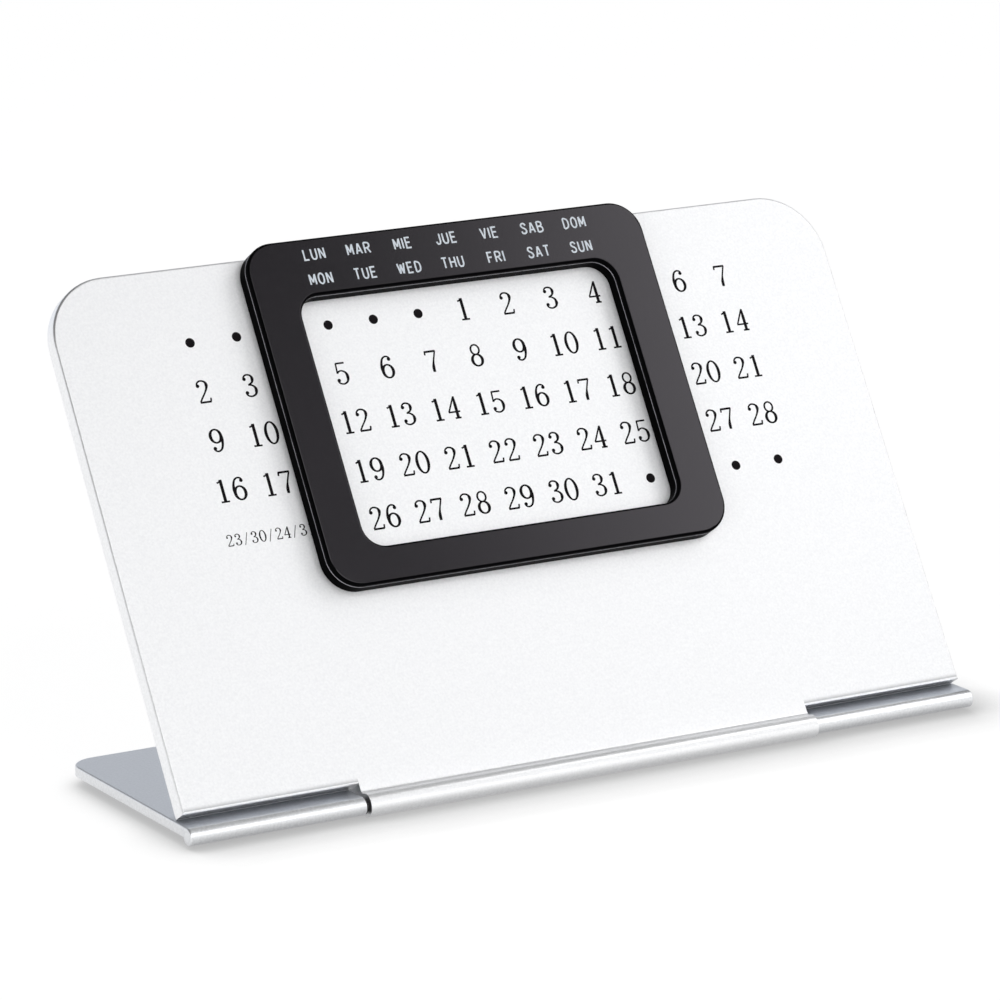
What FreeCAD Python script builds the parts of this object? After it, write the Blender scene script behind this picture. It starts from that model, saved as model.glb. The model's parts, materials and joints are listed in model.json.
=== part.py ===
import FreeCAD, Part
import os
import Sketcher

# Perpetual desk calendar: a leaning plate with a printed grid of numbers, hinged along its lower
# edge to a thin base plate, and a black window frame that slides along the plate's top edge.
# Lengths are in millimetres. X runs along the hinge, Y to the rear and Z up. The origin lies on
# the table, under the middle of the object's box.

# Driving sizes

size_values = {
    # leaning plate
    "panel_width": 150,
    "panel_height": 91.8,
    "panel_thickness": 3.2,
    "panel_corner": 11.2,
    "panel_edge": 0.45,
    "lean": 31.36,
    "stop_gap": 0.05,
    # middle hinge knuckle, part of the leaning plate
    "barrel_radius": 1.95,
    "barrel_length": 86.3,
    "barrel_shift": 0.15,
    "axis_forward": 0.43,
    "barrel_fillet": 0.85,
    "web_heel": 1.2,
    "web_tuck_share": 0.7,
    "table_gap": 0.15,
    # base plate with the two outer knuckles
    "base_width": 151,
    "base_depth": 44.9,
    "base_thickness": 1.75,
    "base_corner": 4.5,
    "base_edge": 0.3,
    "bead_radius": 1.5,
    "cut_clearance": 0.4,
    "cut_corner": 0.6,
    # hinge pins and the spring washer between the knuckles
    "washer_gap": 0.65,
    "end_gap": 0.12,
    "pin_radius": 0.8,
    "pin_reach": 16,
    "pin_chamfer": 0.15,
    "pin_clearance": 0.03,
    "bore_spare": 0.5,
    "washer_radius": 1.4,
    "washer_thickness": 0.2,
    "washer_rise": 0.33,
    "washer_clearance": 0.08,
    # rubber feet
    "foot_radius": 4,
    "foot_inset_side": 9,
    "foot_inset_end": 7.5,
    "foot_edge": 0.5,
    # sliding window frame
    "slider_width": 76.74,
    "slider_height": 61.09,
    "slider_place": 0.69,
    "slider_corner": 5.6,
    "stile_width": 7.8,
    "header_height": 10.1,
    "sill_height": 6.24,
    "window_corner": 3.9,
    "slide_gap": 0.1,
    "body_thickness": 2.35,
    "tape_thickness": 0.1,
    "tape_inset": 0.06,
    "face_thickness": 0.85,
    "face_edge": 0.5,
    "bridge_gap": 0.1,
    "bridge_thickness": 1.12,
    "lip_depth": 7,
    "lip_thickness": 1.2,
    "lip_corner": 2,
    "lip_edge": 0.3,
    "pad_width": 12,
    "pad_height": 4.5,
    "pad_thickness": 0.5,
    "pad_corner": 1,
    "pad_gap": 0.1,
    "pad_inset": 10.55,
    # how far apart two points may lie and still count as one
    "same_place": 0.001,
}

doc = FreeCAD.newDocument("DeskCalendar")
sheet = doc.addObject("Spreadsheet::Sheet", "Sizes")
for row, (alias, number) in enumerate(size_values.items(), start=1):
    sheet.set(f"A{row}", alias)
    sheet.set(f"B{row}", str(number))
    sheet.setAlias(f"B{row}", alias)
doc.recompute()


# A size keeps its number, for the first drawing of a sketch, and the formula that binds it.

class Size:
    def __init__(self, number, formula):
        self.number = number
        self.formula = formula

    def __add__(self, other):
        return Size(self.number + other.number, f"({self.formula} + {other.formula})")

    def __sub__(self, other):
        return Size(self.number - other.number, f"({self.formula} - {other.formula})")

    def __mul__(self, other):
        return Size(self.number * other.number, f"{self.formula} * {other.formula}")

    def __truediv__(self, other):
        return Size(self.number / other.number, f"{self.formula} / {other.formula}")

    def __neg__(self):
        return Size(-self.number, f"(-{self.formula})")

    def half(self):
        return Size(self.number / 2, f"{self.formula} / 2")

    def double(self):
        return Size(self.number * 2, f"{self.formula} * 2")


def size(alias):
    return Size(float(sheet.get(alias)), f"Sizes.{alias}")


def angle_share(name, direction):
    turned = FreeCAD.Rotation(FreeCAD.Vector(0, 0, 1), sheet.get("lean")).multVec(direction)
    return Size(turned.y, f"{name}(Sizes.lean)")


zero = Size(0, "0")
lean_sin = angle_share("sin", FreeCAD.Vector(1, 0, 0))
lean_cos = angle_share("cos", FreeCAD.Vector(0, 1, 0))
same_place = sheet.get("same_place")

# Places in the leaning plate's own frame: x along the hinge, y up the plate, z out of its front,
# with the hinge axis at zero

panel_front = -size("axis_forward")
panel_back = panel_front - size("panel_thickness")

# The plate's lower edge clears the base by the stop gap, measured at the rounded rear edge
stop_height = size("bead_radius") + size("stop_gap") - panel_back * lean_sin
edge_drop = size("panel_edge") * (lean_sin + lean_cos) - size("panel_edge")
panel_foot = (stop_height - edge_drop) / lean_cos
panel_top = panel_foot + size("panel_height")

barrel_left = size("barrel_shift") - size("barrel_length").half()
barrel_right = size("barrel_shift") + size("barrel_length").half()

bridge_foot = panel_top + size("bridge_gap")
slider_top = bridge_foot + size("bridge_thickness")
slider_foot = slider_top - size("slider_height")
slider_middle = -size("slider_place")
lip_length = size("slider_width") - size("slider_corner").double()
body_back = panel_front + size("slide_gap")
body_front = body_back + size("body_thickness")
face_back = body_front + size("tape_thickness")
lip_front = panel_back - size("pad_gap") - size("pad_thickness")
lip_back = lip_front - size("lip_thickness")

# Places on the table: the hinge axis is at y zero until the whole object is moved to its origin

axis_height = size("barrel_radius") + size("table_gap")
plate_top = axis_height + size("bead_radius")
plate_underside = plate_top - size("base_thickness")
knuckle_left = barrel_left - size("washer_gap")
knuckle_right = barrel_right + size("end_gap")
panel_crossing = (size("bead_radius") * lean_sin - panel_back) / lean_cos
cut_depth = panel_crossing + size("cut_clearance") + size("cut_corner")

rear_rounding = size("lip_edge") * (lean_sin + lean_cos) - size("lip_edge")
rear_reach = slider_top * lean_sin - lip_back * lean_cos - rear_rounding
origin_back = (size("barrel_radius") - rear_reach).half()


# Making bodies, sketches and features

def new_body(name):
    body = doc.addObject("PartDesign::Body", name)
    body.Label = name
    return body


def new_sketch(body, name, role, offset=zero):
    sketch = body.newObject("Sketcher::SketchObject", name)
    plane = [feature for feature in body.Origin.OriginFeatures if feature.Role == role][0]
    sketch.AttachmentSupport = [(plane, "")]
    sketch.MapMode = "FlatFace"
    sketch.setExpression("AttachmentOffset.Base.z", offset.formula)
    return sketch


def hold_point(sketch, line, point, name, place):
    for axis, distance in zip(("DistanceX", "DistanceY"), place):
        label = f"{name}{axis[-1]}"
        if abs(distance.number) < same_place:
            sketch_axis = -2 if axis == "DistanceX" else -1
            sketch.addConstraint(Sketcher.Constraint("PointOnObject", line, point, sketch_axis))
            continue
        constraint = Sketcher.Constraint(axis, -1, 1, line, point, distance.number)
        index = sketch.addConstraint(constraint)
        sketch.renameConstraint(index, label)
        sketch.setExpression(f"Constraints.{label}", distance.formula)


def draw_outline(sketch, name, places):
    corners = [FreeCAD.Vector(across.number, up.number, 0) for across, up in places]
    first = sketch.GeometryCount
    count = len(corners)
    for step in range(count):
        line = Part.LineSegment(corners[step], corners[(step + 1) % count])
        sketch.addGeometry(line, False)
    for step in range(count):
        following = first + (step + 1) % count
        sketch.addConstraint(Sketcher.Constraint("Coincident", first + step, 2, following, 1))
    for step, place in enumerate(places):
        hold_point(sketch, first + step, 1, f"{name}{step}", place)


def draw_circle(sketch, name, centre, radius):
    middle = FreeCAD.Vector(centre[0].number, centre[1].number, 0)
    circle = Part.Circle(middle, FreeCAD.Vector(0, 0, 1), radius.number)
    line = sketch.addGeometry(circle, False)
    hold_point(sketch, line, 3, name, centre)
    index = sketch.addConstraint(Sketcher.Constraint("Radius", line, radius.number))
    sketch.renameConstraint(index, f"{name}Radius")
    sketch.setExpression(f"Constraints.{name}Radius", radius.formula)


def rectangle(left, right, bottom, top):
    return [(left, bottom), (right, bottom), (right, top), (left, top)]


def add_pad(body, sketch, length, name, midplane=False):
    pad = body.newObject("PartDesign::Pad", name)
    pad.Profile = sketch
    pad.Midplane = midplane
    pad.setExpression("Length", length.formula)
    doc.recompute()
    return pad


def add_pocket(body, sketch, length, name, reversed_way):
    before = body.Shape.Volume
    pocket = body.newObject("PartDesign::Pocket", name)
    pocket.Profile = sketch
    pocket.Reversed = reversed_way
    pocket.setExpression("Length", length.formula)
    doc.recompute()
    if not body.Shape.Volume < before:
        raise RuntimeError(f"{name} cuts nothing")
    return pocket


def edges_where(shape, test):
    names = [f"Edge{place + 1}" for place, edge in enumerate(shape.Edges) if test(edge)]
    if not names:
        raise RuntimeError("no edge found to round")
    return names


def add_fillet(body, base, radius, name, test):
    fillet = body.newObject("PartDesign::Fillet", name)
    fillet.Base = (base, edges_where(base.Shape, test))
    fillet.setExpression("Radius", radius.formula)
    doc.recompute()
    return fillet


def add_chamfer(body, base, width, name, test):
    chamfer = body.newObject("PartDesign::Chamfer", name)
    chamfer.Base = (base, edges_where(base.Shape, test))
    chamfer.setExpression("Size", width.formula)
    doc.recompute()
    return chamfer


def middle_of(edge):
    return edge.valueAt((edge.FirstParameter + edge.LastParameter) / 2)


def near(number, place):
    return abs(number - place.number) < same_place


def flat_at(edge, place):
    box = edge.BoundBox
    return near(box.ZMin, place) and near(box.ZMax, place)


def upright(edge):
    box = edge.BoundBox
    return box.ZLength > same_place and box.XLength < same_place and box.YLength < same_place


# Leaning plate with the middle knuckle

def make_panel():
    body = new_body("display_panel")
    side = size("panel_width").half()

    plate_sketch = new_sketch(body, "PanelOutline", "XY_Plane", panel_back)
    draw_outline(plate_sketch, "panel", rectangle(-side, side, panel_foot, panel_top))
    plate = add_pad(body, plate_sketch, size("panel_thickness"), "PanelPlate")

    def top_corner(edge):
        return upright(edge) and near(middle_of(edge).y, panel_top)

    def rim(edge):
        return flat_at(edge, panel_front) or flat_at(edge, panel_back)

    rounded = add_fillet(body, plate, size("panel_corner"), "PanelCorners", top_corner)
    add_fillet(body, rounded, size("panel_edge"), "PanelRims", rim)

    web_sketch = new_sketch(body, "WebProfile", "YZ_Plane", size("barrel_shift"))
    web_top = panel_foot + size("panel_edge").double()
    below = -size("barrel_radius") * size("web_tuck_share")
    web_places = [
        (web_top, panel_front),
        (zero, panel_front),
        (below, below),
        (size("web_heel"), panel_back),
        (web_top, panel_back),
    ]
    draw_outline(web_sketch, "web", web_places)
    add_pad(body, web_sketch, size("barrel_length"), "Web", midplane=True)

    barrel_sketch = new_sketch(body, "BarrelCircle", "YZ_Plane", size("barrel_shift"))
    draw_circle(barrel_sketch, "barrel", (zero, zero), size("barrel_radius"))
    barrel = add_pad(body, barrel_sketch, size("barrel_length"), "Barrel", midplane=True)

    def barrel_root(edge):
        box = edge.BoundBox
        along = near(box.XMin, barrel_left) and near(box.XMax, barrel_right)
        return along and near(box.ZMin, panel_front) and box.YMax < size("barrel_radius").number

    add_fillet(body, barrel, size("barrel_fillet"), "BarrelRoot", barrel_root)

    bore = size("pin_radius") + size("pin_clearance")
    depth = size("pin_reach") + size("bore_spare")
    for name, end, inward in (("Left", barrel_left, True), ("Right", barrel_right, False)):
        bore_sketch = new_sketch(body, f"Bore{name}Circle", "YZ_Plane", end)
        draw_circle(bore_sketch, f"bore{name}", (zero, zero), bore)
        add_pocket(body, bore_sketch, depth, f"Bore{name}", inward)
    return body


# Base plate with the two outer knuckles

def make_base():
    body = new_body("base_plate")
    side = size("base_width").half()
    back = size("base_depth")
    underside = plate_underside - axis_height

    plate_sketch = new_sketch(body, "BaseOutline", "XY_Plane", underside)
    base_places = [
        (-side, zero),
        (knuckle_left, zero),
        (knuckle_left, cut_depth),
        (knuckle_right, cut_depth),
        (knuckle_right, zero),
        (side, zero),
        (side, back),
        (-side, back),
    ]
    draw_outline(plate_sketch, "base", base_places)
    plate = add_pad(body, plate_sketch, size("base_thickness"), "BasePlate")

    def back_corner(edge):
        return upright(edge) and near(middle_of(edge).y, back)

    def cut_corner(edge):
        return upright(edge) and near(middle_of(edge).y, cut_depth)

    rounded = add_fillet(body, plate, size("base_corner"), "BaseCorners", back_corner)
    add_fillet(body, rounded, size("cut_corner"), "CutCorners", cut_corner)

    bead_length_left = knuckle_left + side
    bead_length_right = side - knuckle_right
    for name, start, length in (
        ("Left", -side, bead_length_left),
        ("Right", knuckle_right, bead_length_right),
    ):
        bead_sketch = new_sketch(body, f"Bead{name}Circle", "YZ_Plane", start)
        draw_circle(bead_sketch, f"bead{name}", (zero, zero), size("bead_radius"))
        bead = add_pad(body, bead_sketch, length, f"Bead{name}")

    def upper_rim(edge):
        middle = middle_of(edge)
        on_end = near(abs(middle.x), side)
        bead_end = on_end and near(edge.BoundBox.YMin, -size("bead_radius"))
        behind = middle.y > (back - size("base_corner")).number
        return bead_end or flat_at(edge, size("bead_radius")) and (on_end or behind)

    add_fillet(body, bead, size("base_edge"), "BaseRims", upper_rim)

    for name, end, inward in (("Left", -side, False), ("Right", side, True)):
        length = bead_length_left if name == "Left" else bead_length_right
        bore_sketch = new_sketch(body, f"Seat{name}Circle", "YZ_Plane", end)
        draw_circle(bore_sketch, f"seat{name}", (zero, zero), size("pin_radius"))
        add_pocket(body, bore_sketch, length, f"Seat{name}", not inward)
    return body


# Hinge pins, pressed into the outer knuckles and running in the barrel

def make_pin(name, start, length):
    body = new_body(name)
    pin_sketch = new_sketch(body, f"{name}Circle", "YZ_Plane", start)
    draw_circle(pin_sketch, "pin", (zero, zero), size("pin_radius"))
    pin = add_pad(body, pin_sketch, length, f"{name}Rod")

    def inner_end(edge):
        box = edge.BoundBox
        return box.XLength < same_place and not near(abs(box.XMin), size("base_width").half())

    add_chamfer(body, pin, size("pin_chamfer"), f"{name}Lead", inner_end)
    return body


# Conical spring washer in the wider gap

def make_washer():
    body = new_body("spring_washer")
    washer_sketch = new_sketch(body, "WasherProfile", "XY_Plane")
    inside = size("pin_radius") + size("washer_clearance")
    play = (size("washer_gap") - size("washer_rise") - size("washer_thickness")).half()
    start = knuckle_left + play
    washer_places = [
        (start, size("washer_radius")),
        (start + size("washer_rise"), inside),
        (start + size("washer_rise") + size("washer_thickness"), inside),
        (start + size("washer_thickness"), size("washer_radius")),
    ]
    draw_outline(washer_sketch, "washer", washer_places)
    turn = body.newObject("PartDesign::Revolution", "WasherRing")
    turn.Profile = washer_sketch
    turn.ReferenceAxis = (washer_sketch, ["H_Axis"])
    doc.recompute()
    return body


# Rubber foot under the base plate

def make_foot(name, across, back):
    body = new_body(name)
    foot_sketch = new_sketch(body, f"{name}Circle", "XY_Plane")
    draw_circle(foot_sketch, "foot", (across, back), size("foot_radius"))
    foot = add_pad(body, foot_sketch, plate_underside, f"{name}Disc")

    def lower_rim(edge):
        return flat_at(edge, zero)

    add_fillet(body, foot, size("foot_edge"), f"{name}Rim", lower_rim)
    return body


# One layer of the sliding window frame

def make_frame(name, start, thickness, inset, body=None):
    body = body or new_body(name)
    half_width = size("slider_width").half() - inset
    half_window = size("slider_width").half() - size("stile_width") + inset
    window_top = slider_top - size("header_height") + inset
    window_foot = slider_foot + size("sill_height") - inset
    outer = rectangle(slider_middle - half_width, slider_middle + half_width,
                      slider_foot + inset, slider_top - inset)
    inner = rectangle(slider_middle - half_window, slider_middle + half_window,
                      window_foot, window_top)
    frame_sketch = new_sketch(body, f"{name}Outline", "XY_Plane", start)
    draw_outline(frame_sketch, "outer", outer)
    draw_outline(frame_sketch, "window", inner)
    frame = add_pad(body, frame_sketch, thickness, f"{name}Frame")

    def on_window(edge):
        across = abs(middle_of(edge).x - slider_middle.number)
        return upright(edge) and near(across, half_window)

    def on_outside(edge):
        across = abs(middle_of(edge).x - slider_middle.number)
        return upright(edge) and near(across, half_width)

    corners = add_fillet(body, frame, size("slider_corner") - inset, f"{name}Corners", on_outside)
    add_fillet(body, corners, size("window_corner") + inset, f"{name}Window", on_window)
    return body


# Rear half of the sliding frame, with the bridge over the plate's top edge and the rear lip

def make_slider_body():
    body = make_frame("slider_body", body_back, size("body_thickness"), zero)
    lip_foot = slider_top - size("lip_depth")

    hook_sketch = new_sketch(body, "HookProfile", "YZ_Plane", slider_middle)
    hook_places = [
        (slider_top, body_front),
        (slider_top, lip_back),
        (lip_foot, lip_back),
        (lip_foot, lip_front),
        (bridge_foot, lip_front),
        (bridge_foot, body_front),
    ]
    draw_outline(hook_sketch, "hook", hook_places)
    hook = add_pad(body, hook_sketch, lip_length, "Hook", midplane=True)

    def lip_corner(edge):
        return upright(edge) and near(middle_of(edge).y, lip_foot)

    rounded = add_fillet(body, hook, size("lip_corner"), "LipCorners", lip_corner)

    def lip_rim(edge):
        return flat_at(edge, lip_back)

    add_fillet(body, rounded, size("lip_edge"), "LipRim", lip_rim)
    return body


# Front half of the sliding frame, with eased front edges

def make_slider_face():
    body = make_frame("slider_face", face_back, size("face_thickness"), zero)
    front = face_back + size("face_thickness")

    def front_rim(edge):
        return flat_at(edge, front)

    add_fillet(body, body.Tip, size("face_edge"), "FaceRims", front_rim)
    return body


# Felt pad inside the rear lip

def make_pad(name, across):
    body = new_body(name)
    half_width = size("pad_width").half()
    lip_foot = slider_top - size("lip_depth")
    middle = (lip_foot + bridge_foot).half()
    half_height = size("pad_height").half()
    pad_sketch = new_sketch(body, f"{name}Outline", "XY_Plane", lip_front)
    outline = rectangle(across - half_width, across + half_width,
                        middle - half_height, middle + half_height)
    draw_outline(pad_sketch, "pad", outline)
    pad = add_pad(body, pad_sketch, size("pad_thickness"), f"{name}Felt")
    add_fillet(body, pad, size("pad_corner"), f"{name}Corners", upright)
    return body


# The parts that lean, and the parts that stand on the table

base_side = size("base_width").half()
pad_side = lip_length.half() - size("pad_inset")
foot_side = base_side - size("foot_inset_side")
foot_front = size("foot_inset_end")
foot_rear = size("base_depth") - size("foot_inset_end")

leaning = [
    make_panel(),
    make_slider_body(),
    make_slider_face(),
    make_frame("face_tape", body_front, size("tape_thickness"), size("tape_inset")),
    make_pad("glide_pad_left", slider_middle - pad_side),
    make_pad("glide_pad_right", slider_middle + pad_side),
]
on_axis = [
    make_base(),
    make_pin("hinge_pin_left", -base_side, barrel_left + size("pin_reach") + base_side),
    make_pin("hinge_pin_right", barrel_right - size("pin_reach"),
             base_side - barrel_right + size("pin_reach")),
    make_washer(),
]
on_table = [
    make_foot("foot_front_left", -foot_side, foot_front),
    make_foot("foot_front_right", foot_side, foot_front),
    make_foot("foot_rear_left", -foot_side, foot_rear),
    make_foot("foot_rear_right", foot_side, foot_rear),
]


def place(body, height, turned):
    body.setExpression("Placement.Base.y", origin_back.formula)
    body.setExpression("Placement.Base.z", height.formula)
    if turned:
        body.Placement.Rotation = FreeCAD.Rotation(FreeCAD.Vector(1, 0, 0), 1)
        body.setExpression("Placement.Rotation.Angle", "90 - Sizes.lean")


for body in leaning:
    place(body, axis_height, True)
for body in on_axis:
    place(body, axis_height, False)
for body in on_table:
    place(body, zero, False)
doc.recompute()

# Nothing is written unless every object is sound

for item in doc.Objects:
    if "Invalid" in item.State or "Error" in item.State:
        raise RuntimeError(f"{item.Label} failed: {item.State}")

os.makedirs("parts", exist_ok=True)
for body in leaning + on_axis + on_table:
    shape = body.Shape
    if shape.isNull() or not shape.isValid() or len(shape.Solids) != 1:
        raise RuntimeError(f"{body.Label} has no sound solid")
    shape.exportStep(f"parts/{body.Label}.step")
    box = shape.BoundBox
    print(f"{body.Label}: {shape.Volume:.2f} mm3, x {box.XMin:.3f} to {box.XMax:.3f}, "
          f"y {box.YMin:.3f} to {box.YMax:.3f}, z {box.ZMin:.3f} to {box.ZMax:.3f}")
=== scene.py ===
import json
import math

import bmesh
import bpy
from mathutils import Matrix, Vector
from mathutils.geometry import delaunay_2d_cdt


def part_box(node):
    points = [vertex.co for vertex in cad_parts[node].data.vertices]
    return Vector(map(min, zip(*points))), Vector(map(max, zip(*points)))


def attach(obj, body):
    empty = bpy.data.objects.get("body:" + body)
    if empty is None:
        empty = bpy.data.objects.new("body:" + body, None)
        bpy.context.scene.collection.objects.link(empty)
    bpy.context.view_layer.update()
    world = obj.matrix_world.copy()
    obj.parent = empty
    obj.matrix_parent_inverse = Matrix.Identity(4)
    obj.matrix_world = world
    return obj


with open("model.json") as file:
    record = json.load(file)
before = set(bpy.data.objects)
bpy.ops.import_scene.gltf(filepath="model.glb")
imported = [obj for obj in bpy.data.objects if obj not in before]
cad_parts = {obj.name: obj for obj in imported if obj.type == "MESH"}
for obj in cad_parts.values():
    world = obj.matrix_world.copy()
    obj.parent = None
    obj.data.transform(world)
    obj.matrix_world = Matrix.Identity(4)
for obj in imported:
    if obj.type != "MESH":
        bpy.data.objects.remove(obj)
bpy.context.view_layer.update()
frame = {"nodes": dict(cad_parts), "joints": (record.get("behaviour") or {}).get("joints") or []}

mm = 0.001

# The leaning plate's own axes: x along the hinge, up the plate, and out of its front
plate = {
    "lean": math.radians(31.36),
    "hingeToFoot": 3.83 * mm,     # from the hinge axis up to the plate's lower edge
    "frontBehindHinge": 0.43 * mm,
    "faceAboveFront": 3.4 * mm,    # the window frame's face above the plate's front
}
hinge = Vector(frame["joints"][0]["pos_m"])
alongHinge = Vector((1, 0, 0))
upPlate = Vector((0, math.sin(plate["lean"]), math.cos(plate["lean"])))
outOfPlate = Vector((0, -math.cos(plate["lean"]), math.sin(plate["lean"])))
footLine = hinge + upPlate * plate["hingeToFoot"] - outOfPlate * plate["frontBehindHinge"]


def onPlate(across, up, out=0.0):
    return footLine + alongHinge * across + upPlate * up + outOfPlate * out


# Camera: the photograph's own place, worked out from the printed grid

view = {
    "azimuth": math.radians(29.59),
    "elevation": math.radians(13.6),
    "roll": math.radians(-0.88),
    "distance": 0.8617,
    "lens": 190.3,
    "sensor": 36.0,
    "clip": (0.05, 20.0),
    "lookAcross": -15.84 * mm,
    "lookAboveFoot": 43.85 * mm,
}


def placeCamera():
    azimuth, elevation, roll = view["azimuth"], view["elevation"], view["roll"]
    look = Vector((math.sin(azimuth) * math.cos(elevation),
                   math.cos(azimuth) * math.cos(elevation),
                   -math.sin(elevation)))
    level = Vector((math.cos(azimuth), -math.sin(azimuth), 0))
    upright = level.cross(look)
    right = level * math.cos(roll) + upright * math.sin(roll)
    above = upright * math.cos(roll) - level * math.sin(roll)
    target = footLine + Vector((view["lookAcross"], 0, view["lookAboveFoot"]))
    data = bpy.data.cameras.new("photoCamera")
    data.lens = view["lens"]
    data.sensor_width = view["sensor"]
    data.clip_start, data.clip_end = view["clip"]
    camera = bpy.data.objects.new("photoCamera", data)
    bpy.context.scene.collection.objects.link(camera)
    turn = Matrix((right, above, -look)).transposed()
    camera.matrix_world = Matrix.Translation(target - look * view["distance"]) @ turn.to_4x4()
    bpy.context.scene.camera = camera


placeCamera()
print("camera placed")


# Materials

texture = {
    "cloudDetail": 3,
    "grainDetail": 2,
    "noiseSpan": (0.3, 0.7),     # the middle of the noise, which is spread over the whole range
    "facingSpan": (1.6, 0.6),    # from rim to flat face, as shares of the angle in a finish's "within"
}


def startMaterial(name):
    material = bpy.data.materials.new(name)
    material.use_nodes = True
    nodes = material.node_tree.nodes
    return material, nodes, material.node_tree.links, nodes["Principled BSDF"]


def addNoise(nodes, links, place, scale, detail, stretch=(1, 1, 1)):
    mapping = nodes.new("ShaderNodeMapping")
    mapping.inputs["Scale"].default_value = stretch
    noise = nodes.new("ShaderNodeTexNoise")
    noise.inputs["Scale"].default_value = scale
    noise.inputs["Detail"].default_value = detail
    links.new(place, mapping.inputs["Vector"])
    links.new(mapping.outputs["Vector"], noise.inputs["Vector"])
    return noise.outputs["Fac"]


# The input takes what another node gives, or a plain value
def feed(links, socket, value):
    if isinstance(value, bpy.types.NodeSocket):
        links.new(value, socket)
    else:
        socket.default_value = value


def addMath(nodes, links, operation, *values, clamp=False):
    step = nodes.new("ShaderNodeMath")
    step.operation = operation
    step.use_clamp = clamp
    for socket, value in zip(step.inputs, values):
        feed(links, socket, value)
    return step.outputs[0]


# How far a place, or the way that a surface faces, reaches along one way
def addAlong(nodes, links, output, way):
    along = nodes.new("ShaderNodeVectorMath")
    along.operation = "DOT_PRODUCT"
    along.inputs[1].default_value = way
    links.new(nodes.new("ShaderNodeTexCoord").outputs[output], along.inputs[0])
    return along.outputs["Value"]


def addRange(nodes, links, value, span, spread=(0, 1), smooth=False):
    fit = nodes.new("ShaderNodeMapRange")
    fit.interpolation_type = "SMOOTHSTEP" if smooth else "LINEAR"
    for name, level in zip(("From Min", "From Max", "To Min", "To Max"), (*span, *spread)):
        fit.inputs[name].default_value = level
    links.new(value, fit.inputs["Value"])
    return fit.outputs["Result"]


def addBlend(nodes, links, share, kind, first, second):
    blend = nodes.new("ShaderNodeMix")
    blend.data_type = kind
    links.new(share, blend.inputs["Factor"])
    feed(links, blend.inputs["A"], first)
    feed(links, blend.inputs["B"], second)
    return blend.outputs["Result"]


def addTint(nodes, links, value, dark, light):
    return addBlend(nodes, links, value, "RGBA", (*dark, 1), (*light, 1))


def addBump(nodes, links, value, depth, strength):
    bump = nodes.new("ShaderNodeBump")
    bump.inputs["Strength"].default_value = strength
    bump.inputs["Distance"].default_value = depth
    links.new(value, bump.inputs["Height"])
    return bump.outputs["Normal"]


# 1 on the faces that look one way of their piece, or straight back, and 0 on its rims
def addFacing(nodes, links, way, within):
    either = addMath(nodes, links, "ABSOLUTE", addAlong(nodes, links, "Normal", way))
    span = [math.cos(math.radians(within * share)) for share in texture["facingSpan"]]
    return addRange(nodes, links, either, span)


# Painted shade: the colour falls off where another surface stands close, as in the gap at the hinge
def addCrevice(nodes, links, creviceShade, colour):
    near = nodes.new("ShaderNodeAmbientOcclusion")
    near.inputs["Distance"].default_value = creviceShade["reach"]
    return addBlend(nodes, links, near.outputs["AO"], "RGBA", (*creviceShade["colour"], 1), colour)


# Painted shade: the plate's colour darkens softly towards its lower edge, left and right of the barrel
def addLowEdge(nodes, links, edge, colour):
    span = [onPlate(0, edge[end]).dot(upPlate) for end in ("from", "to")]
    rise = addRange(nodes, links, addAlong(nodes, links, "Object", upPlate), span, smooth=True)
    barrel = addMath(nodes, links, "COMPARE", addAlong(nodes, links, "Object", alongHinge),
                     edge["barrelMiddle"], edge["barrelHalf"])
    kept = addMath(nodes, links, "MAXIMUM", rise, barrel)
    return addBlend(nodes, links, kept, "RGBA", (*edge["colour"], 1), colour)


# Painted highlight: a bright metal line round a piece, at one height above the plate's front, in place of
# the light that the seam's edge catches
def addEdgeLine(nodes, links, line, colour, shader):
    middle = onPlate(0, 0, line["middle"]).dot(outOfPlate)
    share = addMath(nodes, links, "COMPARE", addAlong(nodes, links, "Object", outOfPlate),
                    middle, line["width"] / 2)
    links.new(share, shader.inputs["Metallic"])
    return addBlend(nodes, links, share, "RGBA", colour, (*line["colour"], 1))


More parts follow.
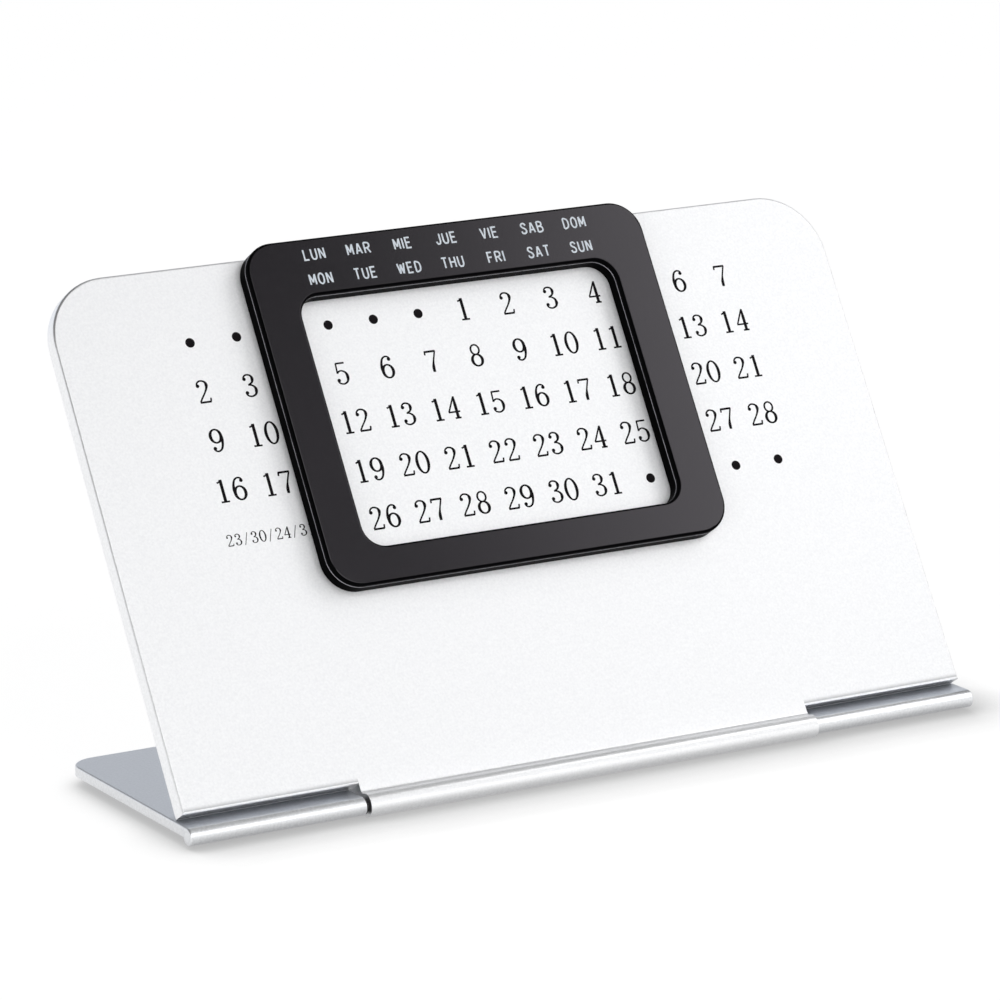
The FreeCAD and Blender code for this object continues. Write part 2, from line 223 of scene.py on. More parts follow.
# Every finish here is a colour that drifts a little, a grain, and a roughness that drifts
def makeFinish(name, look):
    material, nodes, links, shader = startMaterial(name)
    place = nodes.new("ShaderNodeTexCoord").outputs["Object"]
    cloud = addNoise(nodes, links, place, look["cloudScale"], texture["cloudDetail"])
    grain = addNoise(nodes, links, place, look["grainScale"], texture["grainDetail"],
                     look.get("grainStretch", (1, 1, 1)))
    drift = addRange(nodes, links, cloud, texture["noiseSpan"])
    colour = addTint(nodes, links, drift, look["dark"], look["light"])
    roughness = addRange(nodes, links, grain, texture["noiseSpan"], look["roughness"])
    shader.inputs["Metallic"].default_value = look["metallic"]
    shader.inputs["Specular IOR Level"].default_value = look["specular"]
    # painted shade where another surface stands close
    if "creviceShade" in look:
        colour = addCrevice(nodes, links, look["creviceShade"], colour)
    # painted shade along the plate's lower edge
    if "lowEdgeShade" in look:
        colour = addLowEdge(nodes, links, look["lowEdgeShade"], colour)
    if "rim" in look:
        rim = look["rim"]
        flat = addFacing(nodes, links, rim["faceWay"], rim["within"])
        colour = addBlend(nodes, links, flat, "RGBA",
                          addTint(nodes, links, drift, rim["dark"], rim["light"]), colour)
        roughness = addBlend(nodes, links, flat, "FLOAT", rim["roughness"], roughness)
        for socket, kept in ("Specular IOR Level", "specular"), ("Metallic", "metallic"):
            if rim[kept] != look[kept]:
                links.new(addBlend(nodes, links, flat, "FLOAT", rim[kept], look[kept]),
                          shader.inputs[socket])
    # a painted highlight line at the seam
    if "seamHighlight" in look:
        colour = addEdgeLine(nodes, links, look["seamHighlight"], colour, shader)
    links.new(colour, shader.inputs["Base Color"])
    links.new(roughness, shader.inputs["Roughness"])
    links.new(addBump(nodes, links, grain, look["grainDepth"], look["grainStrength"]),
              shader.inputs["Normal"])
    if "specularTint" in look:
        shader.inputs["Specular Tint"].default_value = (*look["specularTint"], 1)
    if "sheen" in look:
        shader.inputs["Sheen Weight"].default_value = look["sheen"]
    return material


finishes = {
    "blastedSilver": {      # the plate: fine bead blasting under clear anodising, with cut edges
        "dark": (0.83, 0.835, 0.85), "light": (0.905, 0.91, 0.92), "metallic": 0.35,
        "specular": 0.5, "roughness": (0.44, 0.54), "cloudScale": 2500.0,
        "grainScale": 7000.0, "grainDepth": 0.00002, "grainStrength": 0.35,
        # painted shade along the plate's lower edge, left and right of the barrel
        "lowEdgeShade": {"from": -0.3 * mm, "to": 1.25 * mm, "colour": (0.18, 0.18, 0.19),
                    "barrelMiddle": 0.15 * mm, "barrelHalf": 43.15 * mm},
        "rim": {"faceWay": outOfPlate, "within": 10.0, "dark": (0.84, 0.845, 0.855),
                "light": (0.93, 0.935, 0.945), "roughness": 0.34, "specular": 0.5, "metallic": 1.0},
    },
    "satinSilver": {        # the base and the knuckles
        "dark": (0.755, 0.78, 0.82), "light": (0.825, 0.85, 0.89), "metallic": 1.0,
        "specular": 0.5, "roughness": (0.34, 0.42), "cloudScale": 2500.0,
        "grainScale": 7000.0, "grainDepth": 0.00002, "grainStrength": 0.25,
        # painted shade in the gap at the hinge and wherever another surface stands close
        "creviceShade": {"reach": 1.8 * mm, "colour": (0.33, 0.34, 0.36)},
        "rim": {"faceWay": (0, 0, 1), "within": 8.0, "dark": (0.69, 0.70, 0.715),
                "light": (0.80, 0.81, 0.825), "roughness": 0.36, "specular": 0.5, "metallic": 1.0},
    },
    "anodisedBlack": {      # the window frame's face, with dull black rims
        "dark": (0.003, 0.0025, 0.004), "light": (0.005, 0.004, 0.006), "metallic": 0.0,
        "specular": 0.5, "roughness": (0.15, 0.19), "cloudScale": 90.0,
        "grainScale": 4200.0, "grainDepth": 0.00003, "grainStrength": 0.3,
        "specularTint": (0.98, 0.93, 1.0),
        "rim": {"faceWay": outOfPlate, "within": 8.0, "dark": (0.0020, 0.0020, 0.0023),
                "light": (0.0028, 0.0028, 0.0031), "roughness": 0.35, "specular": 0.006, "metallic": 0.0},
    },
    "mouldedBlack": {       # the rear half of the frame, its bridge and lip
        "dark": (0.0012, 0.0012, 0.0014), "light": (0.0020, 0.0019, 0.0022), "metallic": 0.0,
        "specular": 0.004, "roughness": (0.30, 0.38), "cloudScale": 70.0,
        "grainScale": 2600.0, "grainDepth": 0.00001, "grainStrength": 0.15,
        # painted highlight: a bright metal stripe where the seam between the frame's halves catches the
        # light
        "seamHighlight": {"middle": 2.36 * mm, "width": 0.18 * mm, "colour": (0.46, 0.45, 0.49)},
    },
    # the film between the frame's halves, made bright metal so that its edge shows as a painted highlight
    # line
    "bondingFilmHighlight": {
        "dark": (0.55, 0.55, 0.57), "light": (0.65, 0.65, 0.67), "metallic": 1.0,
        "specular": 0.5, "roughness": (0.25, 0.35), "cloudScale": 200.0,
        "grainScale": 3000.0, "grainDepth": 0.00001, "grainStrength": 0.2,
    },
    "groundRod": {          # faced off flush with the knuckle at its end, ground along the rest
        "dark": (0.79, 0.80, 0.815), "light": (0.81, 0.82, 0.835), "metallic": 1.0,
        "specular": 0.5, "roughness": (0.36, 0.40), "cloudScale": 2500.0,
        "grainScale": 7000.0, "grainDepth": 0.00002, "grainStrength": 0.25,
        "rim": {"faceWay": (1, 0, 0), "within": 12.0, "dark": (0.53, 0.53, 0.55),
                "light": (0.59, 0.59, 0.61), "roughness": 0.28, "specular": 0.5, "metallic": 1.0},
    },
    "springSteel": {
        "dark": (0.022, 0.022, 0.025), "light": (0.040, 0.038, 0.038), "metallic": 1.0,
        "specular": 0.5, "roughness": (0.40, 0.52), "cloudScale": 900.0,
        "grainScale": 4000.0, "grainDepth": 0.00001, "grainStrength": 0.2,
    },
    "footRubber": {
        "dark": (0.020, 0.020, 0.021), "light": (0.032, 0.031, 0.032), "metallic": 0.0,
        "specular": 0.3, "roughness": (0.70, 0.85), "cloudScale": 400.0,
        "grainScale": 3500.0, "grainDepth": 0.00003, "grainStrength": 0.5,
    },
    "darkFelt": {
        "dark": (0.030, 0.030, 0.034), "light": (0.075, 0.074, 0.082), "metallic": 0.0,
        "specular": 0.1, "roughness": (0.88, 0.98), "cloudScale": 1500.0, "sheen": 0.4,
        "grainScale": 6000.0, "grainStretch": (1, 3, 1), "grainDepth": 0.00012, "grainStrength": 0.9,
    },
    "blackInk": {
        "dark": (0.007, 0.006, 0.007), "light": (0.012, 0.009, 0.011), "metallic": 0.0,
        "specular": 0.03, "roughness": (0.50, 0.65), "cloudScale": 700.0,
        "grainScale": 5200.0, "grainDepth": 0.00001, "grainStrength": 0.3,
    },
    "whiteInk": {
        "dark": (0.66, 0.73, 0.80), "light": (0.78, 0.84, 0.90), "metallic": 0.0,
        "specular": 0.4, "roughness": (0.45, 0.60), "cloudScale": 900.0,
        "grainScale": 4200.0, "grainDepth": 0.00001, "grainStrength": 0.3,
    },
}
materials = {name: makeFinish(name, look) for name, look in finishes.items()}

nodeFinish = {
    "display_panel": "blastedSilver",
    "base_plate": "satinSilver",
    "slider_face": "anodisedBlack",
    "slider_body": "mouldedBlack",
    "face_tape": "bondingFilmHighlight",
    "hinge_pin_left": "groundRod",
    "hinge_pin_right": "groundRod",
    "spring_washer": "springSteel",
    "glide_pad_left": "darkFelt",
    "glide_pad_right": "darkFelt",
    "foot_front_left": "footRubber",
    "foot_front_right": "footRubber",
    "foot_rear_left": "footRubber",
    "foot_rear_right": "footRubber",
}
for node, finish in nodeFinish.items():
    piece = frame["nodes"][node]
    if not piece.data.materials:
        piece.data.materials.append(materials[finish])
    for slot in piece.material_slots:
        slot.material = materials[finish]
print("finishes on the frame's nodes")


# Characters are pen strokes: (x, y) points, or (x, y, width) where the pen swells, in units of the
# character's height. "round" runs smoothly through its points, "closed" joins up, "dot" is a blob.

# An oval whose pen is thick at its sides and thin at its top and foot
def ring(across, up, halfWidth, halfHeight, thick, thin, steps):
    points = []
    for step in range(steps):
        turn = step / steps * math.tau
        swell = math.cos(turn) ** 2
        points.append((across + halfWidth * math.cos(turn), up + halfHeight * math.sin(turn),
                       thin + (thick - thin) * swell))
    return ("closed", points)


pen = {
    "stem": 0.113, "hair": 0.060, "ball": 0.130, "serif": 0.062,   # widths of the numbers' strokes
    "weight": 1.24,            # and how much heavier every stroke is drawn
    "curveSteps": 5,
    "dotSteps": 16,
    "cornerLeast": 0.6,        # keeps a stroke's edge from running out far at a sharp corner
    "mergeWithin": 0.0002,
}
stem, hair, ball, serif = pen["stem"], pen["hair"], pen["ball"], pen["serif"]

digits = {
    "0": [ring(0.30, 0.50, 0.255, 0.475, stem, hair, 16)],
    "1": [("line", [(0.31, 0.0, stem), (0.31, 0.99, stem)]),
          ("round", [(0.13, 0.86, hair), (0.23, 0.895, hair), (0.31, 0.965, hair)]),
          ("line", [(0.12, 0.022, serif), (0.50, 0.022, serif)])],
    "2": [("dot", [(0.10, 0.765, ball)]),
          ("round", [(0.065, 0.775, hair), (0.085, 0.87, hair), (0.17, 0.95, hair), (0.28, 0.975, hair),
                     (0.43, 0.925, 0.07), (0.495, 0.79, stem), (0.455, 0.62, 0.078), (0.33, 0.42, 0.06),
                     (0.16, 0.21, hair), (0.05, 0.05, hair)]),
          ("line", [(0.035, 0.036, 0.07), (0.535, 0.036, 0.07)]),
          ("line", [(0.52, 0.03, hair), (0.555, 0.20, hair)])],
    "3": [("dot", [(0.105, 0.80, ball)]),
          ("round", [(0.07, 0.81, hair), (0.095, 0.89, hair), (0.17, 0.955, hair), (0.28, 0.975, hair),
                     (0.42, 0.92, 0.07), (0.47, 0.78, stem), (0.41, 0.62, 0.07), (0.25, 0.535, hair)]),
          ("round", [(0.22, 0.533, hair), (0.36, 0.51, hair), (0.49, 0.41, 0.078), (0.525, 0.26, stem),
                     (0.46, 0.10, 0.075), (0.29, 0.024, hair), (0.15, 0.05, hair), (0.07, 0.115, hair),
                     (0.05, 0.18, hair)]),
          ("dot", [(0.09, 0.195, ball)])],
    "4": [("line", [(0.42, 0.98, hair), (0.035, 0.305, hair)]),
          ("line", [(0.02, 0.30, hair), (0.575, 0.30, hair)]),
          ("line", [(0.415, 0.99, 0.07), (0.415, 0.62, stem), (0.415, 0.0, stem)]),
          ("line", [(0.27, 0.022, serif), (0.555, 0.022, serif)])],
    "5": [("line", [(0.105, 0.945, 0.064), (0.52, 0.945, 0.064)]),
          ("line", [(0.125, 0.95, hair), (0.095, 0.50, hair)]),
          ("round", [(0.095, 0.505, hair), (0.18, 0.585, hair), (0.32, 0.605, 0.055), (0.48, 0.505, 0.08),
                     (0.53, 0.32, stem), (0.475, 0.12, 0.075), (0.31, 0.024, hair), (0.15, 0.05, hair),
                     (0.07, 0.115, hair), (0.05, 0.18, hair)]),
          ("dot", [(0.09, 0.195, ball)])],
    "6": [("dot", [(0.475, 0.845, ball)]),
          ("round", [(0.515, 0.85, hair), (0.485, 0.92, hair), (0.41, 0.965, hair), (0.31, 0.972, hair),
                     (0.18, 0.89, 0.07), (0.09, 0.69, 0.085), (0.065, 0.45, stem), (0.09, 0.24, 0.085),
                     (0.15, 0.10, 0.06)]),
          ring(0.315, 0.315, 0.235, 0.29, stem, hair, 14)],
    "7": [("line", [(0.05, 0.935, 0.075), (0.575, 0.935, 0.075)]),
          ("line", [(0.075, 0.95, 0.06), (0.055, 0.79, hair)]),
          ("round", [(0.553, 0.93, hair), (0.47, 0.72, hair), (0.375, 0.47, 0.065), (0.315, 0.22, stem),
                     (0.305, 0.01, 0.10)])],
    "8": [ring(0.305, 0.755, 0.195, 0.218, 0.072, hair, 14),
          ring(0.30, 0.28, 0.235, 0.258, stem, hair, 14)],
    "/": [("line", [(0.08, -0.06, 0.05), (0.46, 1.0, 0.05)])],
}
nineShift = (0.605, 0.996)       # the 9 is the 6 turned half round and set back in its place
digits["9"] = [(kind, [(nineShift[0] - x, nineShift[1] - y, thick) for x, y, thick in points])
               for kind, points in digits["6"]]

letters = {
    "A": [("line", [(0.02, 0.0), (0.27, 1.0)]), ("line", [(0.31, 1.0), (0.56, 0.0)]),
          ("line", [(0.09, 0.30), (0.49, 0.30)])],
    "B": [("line", [(0.0, 0.0), (0.0, 1.0)]),
          ("round", [(0.0, 1.0), (0.24, 1.0), (0.44, 0.91), (0.46, 0.70), (0.30, 0.55), (0.0, 0.54)]),
          ("round", [(0.0, 0.54), (0.30, 0.53), (0.50, 0.40), (0.50, 0.12), (0.28, 0.0), (0.0, 0.0)])],
    "D": [("line", [(0.0, 0.0), (0.0, 1.0)]),
          ("round", [(0.0, 1.0), (0.22, 0.98), (0.44, 0.82), (0.50, 0.5), (0.44, 0.18), (0.22, 0.02),
                     (0.0, 0.0)])],
    "E": [("line", [(0.46, 1.0), (0.0, 1.0), (0.0, 0.0), (0.48, 0.0)]),
          ("line", [(0.0, 0.53), (0.42, 0.53)])],
    "F": [("line", [(0.46, 1.0), (0.0, 1.0), (0.0, 0.0)]), ("line", [(0.0, 0.52), (0.40, 0.52)])],
    "H": [("line", [(0.0, 0.0), (0.0, 1.0)]), ("line", [(0.50, 0.0), (0.50, 1.0)]),
          ("line", [(0.0, 0.52), (0.50, 0.52)])],
    "I": [("line", [(0.0, 0.0), (0.0, 1.0)])],
    "J": [("round", [(0.40, 1.0), (0.40, 0.60), (0.40, 0.24), (0.30, 0.02), (0.10, 0.02), (0.0, 0.24)])],
    "L": [("line", [(0.0, 1.0), (0.0, 0.0), (0.44, 0.0)])],
    "M": [("line", [(0.0, 0.0), (0.0, 1.0)]), ("line", [(0.02, 0.97), (0.28, 0.22)]),
          ("line", [(0.28, 0.22), (0.54, 0.97)]), ("line", [(0.56, 1.0), (0.56, 0.0)])],
    "N": [("line", [(0.0, 0.0), (0.0, 1.0)]), ("line", [(0.02, 0.96), (0.46, 0.04)]),
          ("line", [(0.48, 0.0), (0.48, 1.0)])],
    "O": [("closed", [(0.53, 0.5), (0.48, 0.84), (0.27, 1.0), (0.06, 0.84), (0.0, 0.5), (0.06, 0.16),
                      (0.27, 0.0), (0.48, 0.16)])],
    "R": [("line", [(0.0, 0.0), (0.0, 1.0)]),
          ("round", [(0.0, 1.0), (0.26, 1.0), (0.48, 0.91), (0.49, 0.63), (0.28, 0.49), (0.0, 0.48)]),
          ("line", [(0.26, 0.48), (0.53, 0.0)])],
    "S": [("round", [(0.49, 0.78), (0.42, 0.94), (0.25, 1.0), (0.07, 0.92), (0.05, 0.72), (0.20, 0.57),
                     (0.38, 0.45), (0.49, 0.26), (0.42, 0.06), (0.24, 0.0), (0.06, 0.06), (0.0, 0.24)])],
    "T": [("line", [(0.0, 1.0), (0.52, 1.0)]), ("line", [(0.26, 1.0), (0.26, 0.0)])],
    "U": [("round", [(0.0, 1.0), (0.0, 0.62), (0.01, 0.24), (0.12, 0.03), (0.25, 0.0), (0.38, 0.03),
                     (0.49, 0.24), (0.50, 0.62), (0.50, 1.0)])],
    "V": [("line", [(0.0, 1.0), (0.25, 0.0)]), ("line", [(0.27, 0.0), (0.52, 1.0)])],
    "W": [("line", [(0.0, 1.0), (0.16, 0.0)]), ("line", [(0.18, 0.0), (0.33, 0.88)]),
          ("line", [(0.35, 0.88), (0.50, 0.0)]), ("line", [(0.52, 0.0), (0.68, 1.0)])],
}


# A smooth curve through all the points
def smoothPath(points, closed):
    count = len(points)
    steps = pen["curveSteps"]
    spans = count if closed else count - 1
    path = []
    for span in range(spans):
        near = [points[(span + shift) % count] if closed else points[min(max(span + shift, 0), count - 1)]
                for shift in (-1, 0, 1, 2)]
        for step in range(steps):
            part = step / steps
            path.append(tuple(
                0.5 * (2 * b + (c - a) * part + (2 * a - 5 * b + 4 * c - d) * part ** 2
                       + (3 * b - a - 3 * c + d) * part ** 3)
                for a, b, c, d in zip(*near)))
    if not closed:
        path.append(tuple(points[-1]))
    return path


def penDot(place, width, steps):
    return [(place[0] + width / 2 * math.cos(step / steps * math.tau),
             place[1] + width / 2 * math.sin(step / steps * math.tau)) for step in range(steps)]


# Both edges of a stroke: each point moves square to the pen's way there, a little more at a corner
def strokeEdges(path, closed):
    edges = []
    count = len(path)
    for step, (x, y, width) in enumerate(path):
        before = path[(step - 1) % count] if closed or step > 0 else path[step]
        after = path[(step + 1) % count] if closed or step < count - 1 else path[step]
        arrive = Vector((x - before[0], y - before[1])).normalized()
        leave = Vector((after[0] - x, after[1] - y)).normalized()
        way = (arrive + leave).normalized()
        square = max(way.dot(arrive), way.dot(leave), pen["cornerLeast"])
        reach = width / 2 / square
        edges.append(((x - way.y * reach, y + way.x * reach), (x + way.y * reach, y - way.x * reach)))
    return edges


def strokeShapes(kind, points, width):
    points = [(*point, width)[:3] for point in points]      # a point's own width goes before the stroke's
    points = [(x, y, thick * pen["weight"]) for x, y, thick in points]
    if kind == "dot":
        return [penDot(place[:2], place[2], pen["dotSteps"]) for place in points]
    closed = kind == "closed"
    path = points if kind == "line" else smoothPath(points, closed)
    edges = strokeEdges(path, closed)
    spans = zip(edges, edges[1:] + edges[:1]) if closed else zip(edges, edges[1:])
    return [[start[1], end[1], end[0], start[0]] for start, end in spans]


# Whether a place lies in a shape without hollows
def holds(shape, place):
    turns = [(end[0] - start[0]) * (place[1] - start[1]) - (end[1] - start[1]) * (place[0] - start[0])
             for start, end in zip(shape, shape[1:] + shape[:1])]
    return all(turn >= 0 for turn in turns) or all(turn <= 0 for turn in turns)


# One clean outline filled with triangles, from shapes that overlap
def mergeShapes(shapes):
    corners, faces = [], []
    for shape in shapes:
        faces.append(list(range(len(corners), len(corners) + len(shape))))
        corners += [Vector(corner) for corner in shape]
    found = delaunay_2d_cdt(corners, [], faces, 0, pen["mergeWithin"])
    points = [tuple(corner) for corner in found[0]]
    triangles = []
    for face in found[2]:
        middle = [sum(points[index][axis] for index in face) / len(face) for axis in (0, 1)]
        if any(holds(shape, middle) for shape in shapes):
            triangles.append(face)
    return points, triangles


def makeCharacter(strokes, width=0.0):
    shapes = [shape for kind, points in strokes for shape in strokeShapes(kind, points, width)]
    return mergeShapes(shapes)


# A film of ink: each character is a thin closed solid, sunk a little so that nothing shows under it
def inkFilm(name, body, finish, prints, depth):
    work = bmesh.new()
    for (corners, triangles), across, up, height in prints:
        levels = []
        for level in depth["out"] - depth["sunk"], depth["out"]:
            levels.append([work.verts.new(onPlate(across + x * height, up + y * height, level))
                           for x, y in corners])
        low, high = levels
        edges = {}
        for face in triangles:
            work.faces.new([high[index] for index in face])
            work.faces.new([low[index] for index in reversed(face)])
            for start, end in zip(face, face[1:] + face[:1]):
                edges[(start, end)] = True
        for start, end in edges:
            if (end, start) not in edges:
                work.faces.new([high[start], low[start], low[end], high[end]])
    loose = [vert for vert in work.verts if not vert.link_faces]
    bmesh.ops.delete(work, geom=loose, context="VERTS")
    bmesh.ops.recalc_face_normals(work, faces=work.faces)
    mesh = bpy.data.meshes.new(name)
    work.to_mesh(mesh)
    work.free()
    mesh.materials.append(materials[finish])
    piece = bpy.data.objects.new(name, mesh)
    bpy.context.scene.collection.objects.link(piece)
    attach(piece, body)


# Printed grid: thirteen columns in five rows, each row a week on from the one above

grid = {
    "pitch": 8.615 * mm,
    "middleAcross": 0.575 * mm,      # the seventh column
    "topUp": 78.47 * mm,
    "rowPitch": 8.66 * mm,
    "numberShift": (0.03 * mm, -0.10 * mm),
    "rowShift": [(0.01 * mm, -0.09 * mm), (-0.04 * mm, 0.06 * mm), (-0.07 * mm, 0.10 * mm),
                 (-0.02 * mm, 0.01 * mm), (0.34 * mm, 0.21 * mm)],
    "numberHeight": 4.02 * mm,
    "digitStep": 0.757,
    "digitMiddle": 0.30,
    "dotWidth": 1.70 * mm,
    "dotSteps": 40,
    "rows": 5,
    "columns": 13,
    "firstNumberColumn": 6,
    "week": 7,
    "days": 31,
    "sharedColumns": 2,              # of the last row, which hold the small shared days
    "smallHeight": 2.0 * mm,
    "smallStep": 0.75,
    "smallText": "23/30/24/31",
    "smallMiddleColumn": 0.565,
}
lastRow = grid["rows"] - 1
film = {"out": 0.012 * mm, "sunk": 0.02 * mm}
penDigits = {sign: makeCharacter(strokes) for sign, strokes in digits.items()}


def setLine(text, across, up, height, step, middle, characters):
    prints = []
    for place, sign in enumerate(text):
        shift = (place - (len(text) - 1) / 2) * step - middle
        prints.append((characters[sign], across + shift * height, up - height / 2, height))
    return prints


def columnPlace(column):
    return grid["middleAcross"] + (column - grid["firstNumberColumn"]) * grid["pitch"]


def rowPlace(row):
    return grid["topUp"] - row * grid["rowPitch"]


def gridCells():
    for row in range(grid["rows"]):
        for column in range(grid["columns"]):
            day = column - grid["firstNumberColumn"] + 1 + grid["week"] * row
            yield row, column, day


def printNumbers(row):
    shiftAcross, shiftUp = (sum(pair) for pair in zip(grid["numberShift"], grid["rowShift"][row]))
    prints = []
    for cellRow, column, day in gridCells():
        shared = row == lastRow and column < grid["sharedColumns"]
        if cellRow == row and 1 <= day <= grid["days"] and not shared:
            prints += setLine(str(day), columnPlace(column) + shiftAcross, rowPlace(row) + shiftUp,
                              grid["numberHeight"], grid["digitStep"], grid["digitMiddle"], penDigits)
    return prints


def printDots():
    dot = mergeShapes([penDot((0, 0), 1, grid["dotSteps"])])
    return [(dot, columnPlace(column) + (grid["rowShift"][row][0] if row == lastRow else 0), rowPlace(row),
             grid["dotWidth"]) for row, column, day in gridCells() if day < 1 or day > grid["days"]]


for row in range(grid["rows"]):
    inkFilm(f"numbers_row_{row + 1}", "panel", "blackInk", printNumbers(row), film)
inkFilm("grid_dots", "panel", "blackInk", printDots(), film)
smallAcross = columnPlace(grid["smallMiddleColumn"])
inkFilm("shared_days", "panel", "blackInk",
        setLine(grid["smallText"], smallAcross, rowPlace(lastRow), grid["smallHeight"], grid["smallStep"],
                grid["digitMiddle"], penDigits), film)
print("grid printed")


# Weekday headings on the window frame, in two rows over seven columns

headings = {
    "rows": [("LUN", "MAR", "MIE", "JUE", "VIE", "SAB", "DOM"),
             ("MON", "TUE", "WED", "THU", "FRI", "SAT", "SUN")],
    "rowUp": (90.11 * mm, 85.66 * mm),
    "pitch": 8.43 * mm,
    "middleColumn": 3,
    "height": 1.84 * mm,
    "stroke": 0.13,
    "gap": 0.335,
}
penLetters = {sign: makeCharacter(strokes, headings["stroke"]) for sign, strokes in letters.items()}


def letterWidth(sign):
    return max(point[0] for kind, points in letters[sign] for point in points)


def setWord(word, across, up):
    total = sum(letterWidth(sign) for sign in word) + headings["gap"] * (len(word) - 1)
    start = -total / 2
    prints = []
    for sign in word:
        prints.append((penLetters[sign], across + start * headings["height"],
                       up - headings["height"] / 2, headings["height"]))
        start += letterWidth(sign) + headings["gap"]
    return prints


def printHeadings():
    low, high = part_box("slider_face")
    middle = (low.x + high.x) / 2
    faceFilm = {"out": plate["faceAboveFront"] + film["out"], "sunk": film["sunk"]}
    for name, words, up in zip(("headings_upper", "headings_lower"), headings["rows"], headings["rowUp"]):
        prints = []
        for place, word in enumerate(words):
            prints += setWord(word, middle + (place - headings["middleColumn"]) * headings["pitch"], up)
        inkFilm(name, "slider", "whiteInk", prints, faceFilm)


printHeadings()
print("headings printed")


# Stage: a pale floor, a surround that is white at the horizon and greyer above, and the soft lamps

stage = {
    "floorSize": 6.0,
    "floorColour": (0.16, 0.16, 0.16),
    "floorRoughness": 0.9,
    "floorSpecular": 0.1,
    "floorLift": 0.93,           # how far the floor's own white stands above what the lamps give it
    "paintedShadowReach": 13 * mm,     # how far from the object that white is dimmed on the floor, a painted contact shadow
    "paintedShadowDepth": 3.0,
    "paintedShadowLeast": 0.44,        # and what is left of it right at the object
    "paintedShadowLean": (-0.38, 0.30, 0.87),   # dims it in front of the object more than at its left
    "horizon": 1.0,              # strength of the surround at the horizon
    "overhead": 0.19,            # and above
    "fade": (12.0, 34.0),        # degrees above the horizon between which it falls
    "behind": (0.93, 0.965, 1.03),        # its colour straight behind the object
    "behindFrom": 0.3,           # and how far round that starts, from 0 beside the object to 1
}


def makeFloor():
    mesh = bpy.data.meshes.new("floor")
    half = stage["floorSize"] / 2
    mesh.from_pydata([(-half, -half, 0), (half, -half, 0), (half, half, 0), (-half, half, 0)], [],
                     [(0, 1, 2, 3)])
    material, nodes, links, shader = startMaterial("paleFloor")
    shader.inputs["Base Color"].default_value = (*stage["floorColour"], 1)
    shader.inputs["Roughness"].default_value = stage["floorRoughness"]
    shader.inputs["Specular IOR Level"].default_value = stage["floorSpecular"]
    rays = nodes.new("ShaderNodeLightPath").outputs
    seen = addMath(nodes, links, "ADD", rays["Is Camera Ray"], rays["Is Glossy Ray"])
    shown = addMath(nodes, links, "ADD", seen, rays["Is Transmission Ray"], clamp=True)
    # A painted contact shadow: the floor's own white is dimmed where the object stands close
    paintedShadow = nodes.new("ShaderNodeAmbientOcclusion")
    paintedShadow.inputs["Distance"].default_value = stage["paintedShadowReach"]
    lean = nodes.new("ShaderNodeCombineXYZ")
    for socket, share in zip(lean.inputs, stage["paintedShadowLean"]):
        socket.default_value = share
    links.new(lean.outputs[0], paintedShadow.inputs["Normal"])
    spared = addMath(nodes, links, "POWER", paintedShadow.outputs["AO"], stage["paintedShadowDepth"])
    links.new(addRange(nodes, links, spared, (0, 1), (stage["paintedShadowLeast"], 1)),
              shader.inputs["Emission Color"])
    links.new(addMath(nodes, links, "MULTIPLY", shown, stage["floorLift"]),
              shader.inputs["Emission Strength"])
    mesh.materials.append(material)
    floor = bpy.data.objects.new("floor", mesh)
    bpy.context.scene.collection.objects.link(floor)


def makeSurround():
    world = bpy.data.worlds.new("studio")
    bpy.context.scene.world = world
    world.use_nodes = True
    nodes, links = world.node_tree.nodes, world.node_tree.links
    shader = nodes["Background"]
    rays = nodes.new("ShaderNodeLightPath").outputs
    span = [math.sin(math.radians(angle)) for angle in stage["fade"]]
    fade = addRange(nodes, links, addAlong(nodes, links, "Generated", (0, 0, 1)), span,
                    (stage["horizon"], stage["overhead"]), smooth=True)
    links.new(addMath(nodes, links, "MAXIMUM", rays["Is Camera Ray"], fade), shader.inputs["Strength"])
    back = addRange(nodes, links, addAlong(nodes, links, "Generated", (0, 1, 0)),
                    (stage["behindFrom"], 1))
    unseen = addMath(nodes, links, "SUBTRACT", back, rays["Is Camera Ray"], clamp=True)
    links.new(addTint(nodes, links, unseen, (1, 1, 1), stage["behind"]), shader.inputs["Color"])


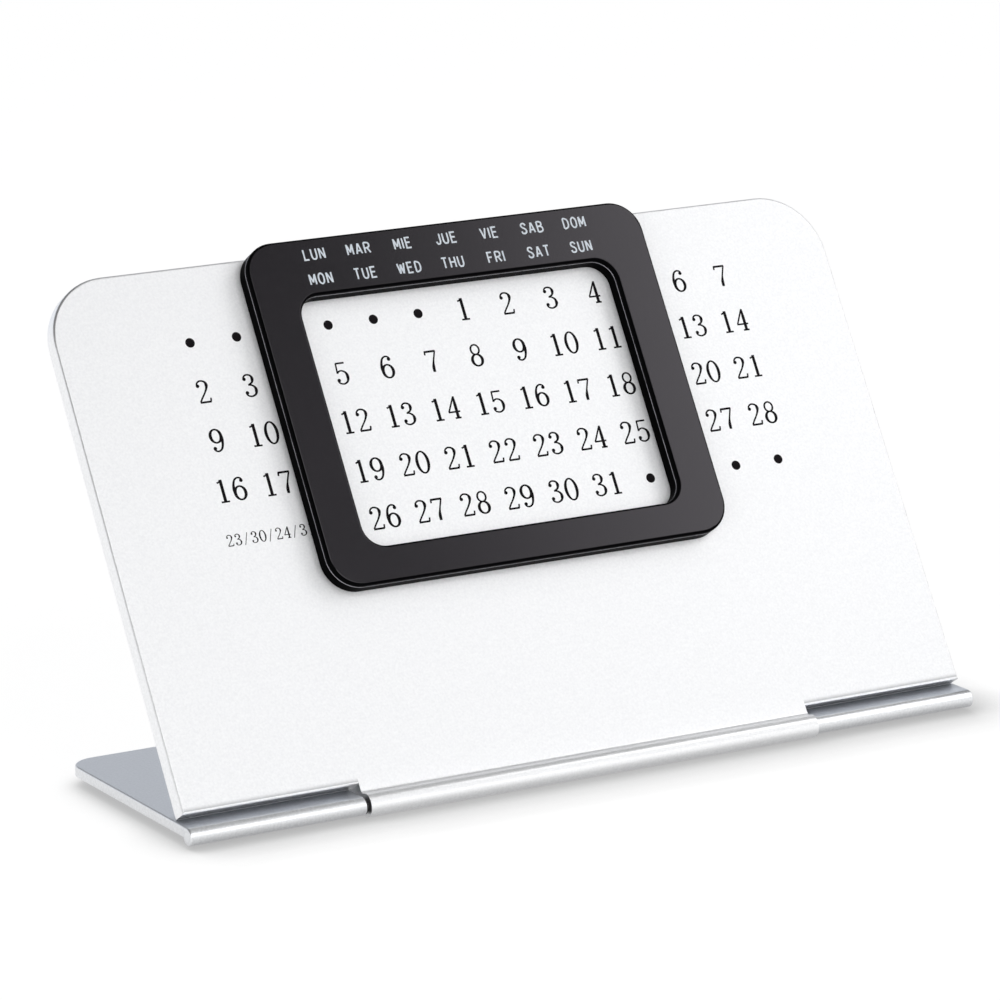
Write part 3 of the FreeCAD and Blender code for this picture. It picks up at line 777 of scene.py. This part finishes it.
# The plate mirrors the camera towards the soft box, whose near edge crosses the window frame's face,
# and which shows in mirrored surfaces only. The front lamp stands nearly square to the plate, so that
# the frame throws little shadow on it, and the left lamp fills part of what is left.
lampsAim = 60 * mm      # how far up the plate all of them point
lamps = {
    "softBox": {"toward": (0.480, -0.596, 0.643), "away": 0.55, "aside": 0.132, "roll": -24.0,
                "size": (0.36, 0.46), "radiance": 2.45, "softEdge": 0.45, "onlyMirrored": True},
    "frontSoft": {"toward": (0.08, -0.85, 0.52), "away": 0.95, "aside": 0.0, "roll": 0.0,
                  "size": (0.60, 0.60), "radiance": 2.75},
    "leftSoft": {"toward": (-0.75, -0.62, 0.12), "away": 0.90, "aside": 0.0, "roll": 0.0,
                 "size": (0.50, 0.50), "radiance": 1.7},
    "topSoft": {"toward": (0.42, 0.16, 0.89), "away": 0.60, "aside": 0.0, "roll": 0.0,
                "size": (0.40, 0.40), "radiance": 0.36},
}


# The lamp's light rises from nothing at one edge over this share of its width
def fadeEdge(data, share):
    data.use_nodes = True
    nodes, links = data.node_tree.nodes, data.node_tree.links
    split = nodes.new("ShaderNodeSeparateXYZ")
    links.new(nodes.new("ShaderNodeNewGeometry").outputs["Parametric"], split.inputs[0])
    links.new(addRange(nodes, links, split.outputs["X"], (0, share), smooth=True),
              nodes["Emission"].inputs["Strength"])


def hangLamps():
    for name, lamp in lamps.items():
        data = bpy.data.lights.new(name, "AREA")
        data.shape = "RECTANGLE"
        data.size, data.size_y = lamp["size"]
        data.energy = lamp["radiance"] * math.pi * data.size * data.size_y
        if "softEdge" in lamp:
            fadeEdge(data, lamp["softEdge"])
        light = bpy.data.objects.new(name, data)
        way = Vector(lamp["toward"]).normalized()
        aside = Vector((0, 0, 1)).cross(way).normalized()
        place = onPlate(0, lampsAim) + way * lamp["away"] + aside * lamp["aside"]
        turn = Matrix((aside, way.cross(aside), way)).transposed().to_4x4()
        roll = Matrix.Rotation(math.radians(lamp["roll"]), 4, "Z")
        light.matrix_world = Matrix.Translation(place) @ turn @ roll
        light.visible_diffuse = not lamp.get("onlyMirrored", False)
        bpy.context.scene.collection.objects.link(light)


makeFloor()
makeSurround()
hangLamps()
bpy.context.scene.view_settings.view_transform = "Standard"
print("stage and lamps set")
